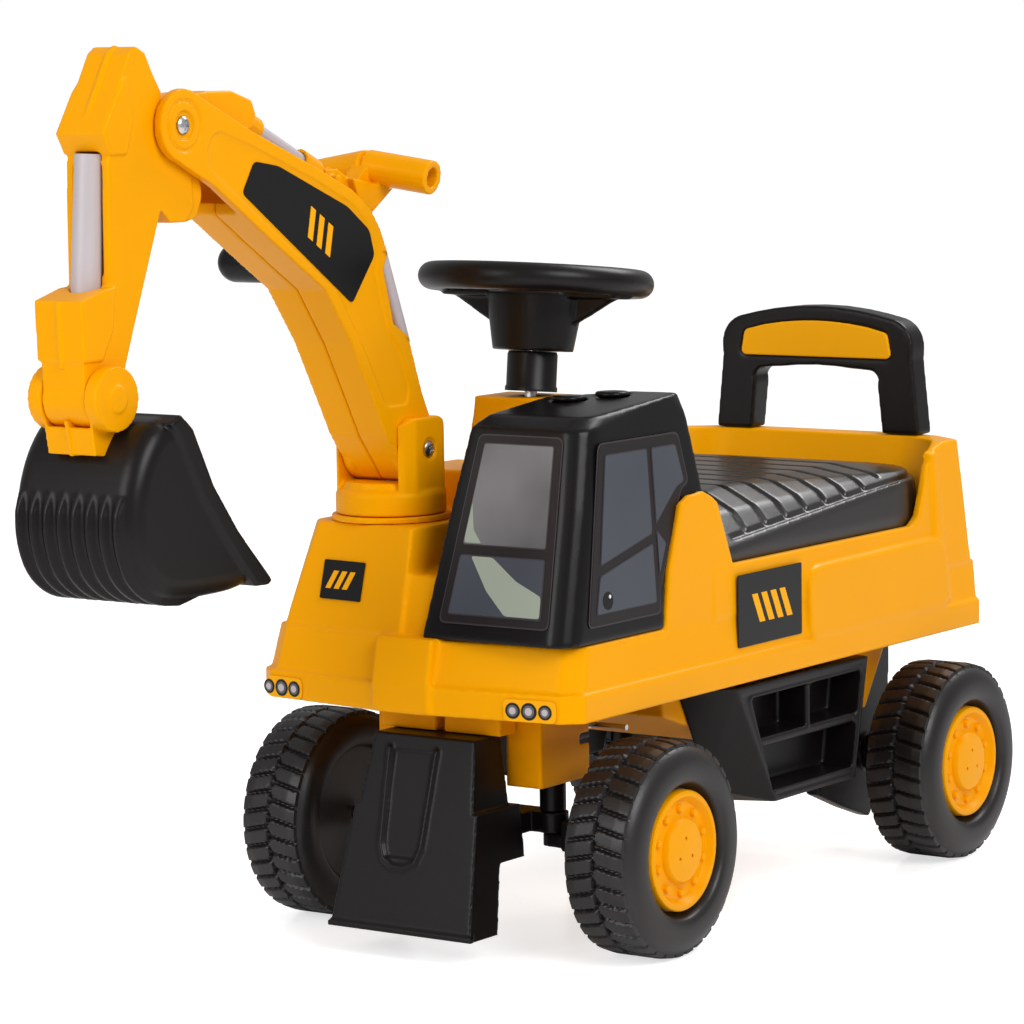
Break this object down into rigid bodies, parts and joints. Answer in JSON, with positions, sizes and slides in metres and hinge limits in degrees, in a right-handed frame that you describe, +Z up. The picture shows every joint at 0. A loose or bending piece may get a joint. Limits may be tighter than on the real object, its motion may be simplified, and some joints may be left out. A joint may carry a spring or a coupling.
{
  "type": "ride-on digger toy",
  "caption": "Ride-on toy digger: moulded body on road wheels, steerable front, cab, lift-up seat with bin, swinging boom with stick, lever, linkage and tipping bucket.",
  "frame": {"origin": "on the floor, under the middle of the bounding box", "axes": "+X forward (towards the bucket), +Y to the rider's left, +Z up"},
  "size_m": [0.781, 0.304, 0.567],
  "materials": {
    "body_yellow": "moulded yellow polypropylene with a soft sheen",
    "insert_orange": "moulded amber plastic",
    "black_plastic": "moulded black plastic, fine satin grain",
    "wheel_black": "blow-moulded black plastic wheel, slightly glossy tread",
    "grey_plastic": "pale grey plastic rod",
    "steel": "plain zinc-plated steel rod",
    "label_black": "printed vinyl label",
    "window_print": "printed window label, grey and silver"
  },
  "bodies": {
    "chassis": {"body_shell": "body_yellow", "floor_pan": "body_yellow", "lower_tub": "body_yellow", "cab_shell": "black_plastic", "cab_windscreen": "window_print", "cab_side_window": "window_print", "front_badge": "label_black", "side_badge_left": "label_black", "side_badge_right": "label_black", "headlights_left": "label_black", "headlights_right": "label_black", "front_guard": "black_plastic", "axle_carrier_left": "body_yellow", "axle_carrier_right": "body_yellow", "front_beam": "black_plastic", "rear_bracket_left": "black_plastic", "rear_bracket_right": "black_plastic", "rear_axle": "steel", "side_step_left": "black_plastic", "side_step_right": "black_plastic", "backrest_frame": "black_plastic", "backrest_insert": "insert_orange", "steering_column": "black_plastic", "turret_collar": "body_yellow"},
    "seat": {"seat_lid": "black_plastic"},
    "steering": {"steering_wheel": "black_plastic", "steering_shaft": "steel"},
    "steering_link": {"tie_rod": "steel"},
    "turret": {"turret": "body_yellow", "boom_pivot_bolt": "steel"},
    "boom": {"boom_half_left": "body_yellow", "boom_half_right": "body_yellow", "boom_back_rod": "grey_plastic", "boom_tip_bolt": "steel", "boom_grip": "black_plastic", "boom_badge_left": "label_black", "boom_badge_right": "label_black"},
    "lever": {"lever": "body_yellow"},
    "link": {"link_barrel": "body_yellow", "link_rod": "grey_plastic", "link_head": "body_yellow"},
    "stick": {"stick": "body_yellow", "stick_rod": "grey_plastic", "bucket_pin": "steel"},
    "bucket": {"bucket_bracket": "body_yellow", "bucket": "black_plastic"},
    "button_front": {"roof_button_front": "black_plastic"},
    "button_rear": {"roof_button_rear": "black_plastic"},
    "knuckle_left": {"knuckle_left": "black_plastic", "stub_axle_left": "steel"},
    "knuckle_right": {"knuckle_right": "black_plastic", "stub_axle_right": "steel"},
    "wheel_front_left": {"tyre_front_left": "wheel_black", "hub_cap_front_left": "body_yellow"},
    "wheel_front_right": {"tyre_front_right": "wheel_black", "hub_cap_front_right": "body_yellow"},
    "wheel_rear_left": {"tyre_rear_left": "wheel_black", "hub_cap_rear_left": "body_yellow"},
    "wheel_rear_right": {"tyre_rear_right": "wheel_black", "hub_cap_rear_right": "body_yellow"}
  },
  "joints": [
    {"name": "steering_turn", "type": "hinge", "parent": "chassis", "child": "steering", "pos_m": [0.0018, 0, 0.341], "axis": [-0.1063, 0, 0.9943], "range_deg": [-21, 21]},
    {"name": "knuckle_left_turn", "type": "hinge", "parent": "chassis", "child": "knuckle_left", "pos_m": [0.0575, 0.051, 0.084], "axis": [0, 0, 1], "range_deg": [-12.2, 12.2]},
    {"name": "knuckle_right_turn", "type": "hinge", "parent": "chassis", "child": "knuckle_right", "pos_m": [0.0575, -0.051, 0.084], "axis": [0, 0, 1], "range_deg": [-12.2, 12.2]},
    {"name": "tie_rod_slide", "type": "slide", "parent": "chassis", "child": "steering_link", "axis": [0, 1, 0], "range_m": [-0.0073, 0.0073]},
    {"name": "wheel_front_left_spin", "type": "hinge", "parent": "knuckle_left", "child": "wheel_front_left", "pos_m": [0.0575, 0.12525, 0.068], "axis": [0, 1, 0], "continuous": true},
    {"name": "wheel_rear_left_spin", "type": "hinge", "parent": "chassis", "child": "wheel_rear_left", "pos_m": [-0.3105, 0.12525, 0.068], "axis": [0, 1, 0], "continuous": true},
    {"name": "wheel_front_right_spin", "type": "hinge", "parent": "knuckle_right", "child": "wheel_front_right", "pos_m": [0.0575, -0.12525, 0.068], "axis": [0, 1, 0], "continuous": true},
    {"name": "wheel_rear_right_spin", "type": "hinge", "parent": "chassis", "child": "wheel_rear_right", "pos_m": [-0.3105, -0.12525, 0.068], "axis": [0, 1, 0], "continuous": true},
    {"name": "seat_lid_hinge", "type": "hinge", "parent": "chassis", "child": "seat", "pos_m": [-0.06, 0, 0.252], "axis": [0, 1, 0], "range_deg": [0, 58]},
    {"name": "turret_swing", "type": "hinge", "parent": "chassis", "child": "turret", "pos_m": [0.076, -0.058, 0.278], "axis": [0, 0, 1], "range_deg": [-60, 45]},
    {"name": "boom_lift", "type": "hinge", "parent": "turret", "child": "boom", "pos_m": [0.076, -0.058, 0.3116], "axis": [0, -1, 0], "range_deg": [-25, 12]},
    {"name": "stick_swing", "type": "hinge", "parent": "boom", "child": "stick", "pos_m": [0.3013, -0.058, 0.5206], "axis": [0, -1, 0], "range_deg": [-8, 10]},
    {"name": "lever_swing", "type": "hinge", "parent": "boom", "child": "lever", "pos_m": [0.1605, -0.058, 0.443], "axis": [0, -1, 0], "range_deg": [-5.6, 7]},
    {"name": "link_swing", "type": "hinge", "parent": "lever", "child": "link", "pos_m": [0.1395, -0.058, 0.483], "axis": [0, -1, 0], "range_deg": [-12.8, 10.3]},
    {"name": "bucket_curl", "type": "hinge", "parent": "stick", "child": "bucket", "pos_m": [0.3715, -0.058, 0.366], "axis": [0, -1, 0], "range_deg": [-30, 35]},
    {"name": "button_front_press", "type": "slide", "parent": "chassis", "child": "button_front", "axis": [0, 0, -1], "range_m": [0, 0.0015], "stiffness_N_per_m": 600, "springref_m": -0.002},
    {"name": "button_rear_press", "type": "slide", "parent": "chassis", "child": "button_rear", "axis": [0, 0, -1], "range_m": [0, 0.0015], "stiffness_N_per_m": 600, "springref_m": -0.002}
  ],
  "couplings": [
    {"joint": "knuckle_left_turn", "follows": "steering_turn", "ratio": 0.5735},
    {"joint": "knuckle_right_turn", "follows": "steering_turn", "ratio": 0.5735},
    {"joint": "tie_rod_slide", "follows": "steering_turn", "m_per_rad": -0.0195},
    {"joint": "lever_swing", "follows": "stick_swing", "ratio": 0.6925},
    {"joint": "link_swing", "follows": "stick_swing", "ratio": -1.2711}
  ]
}
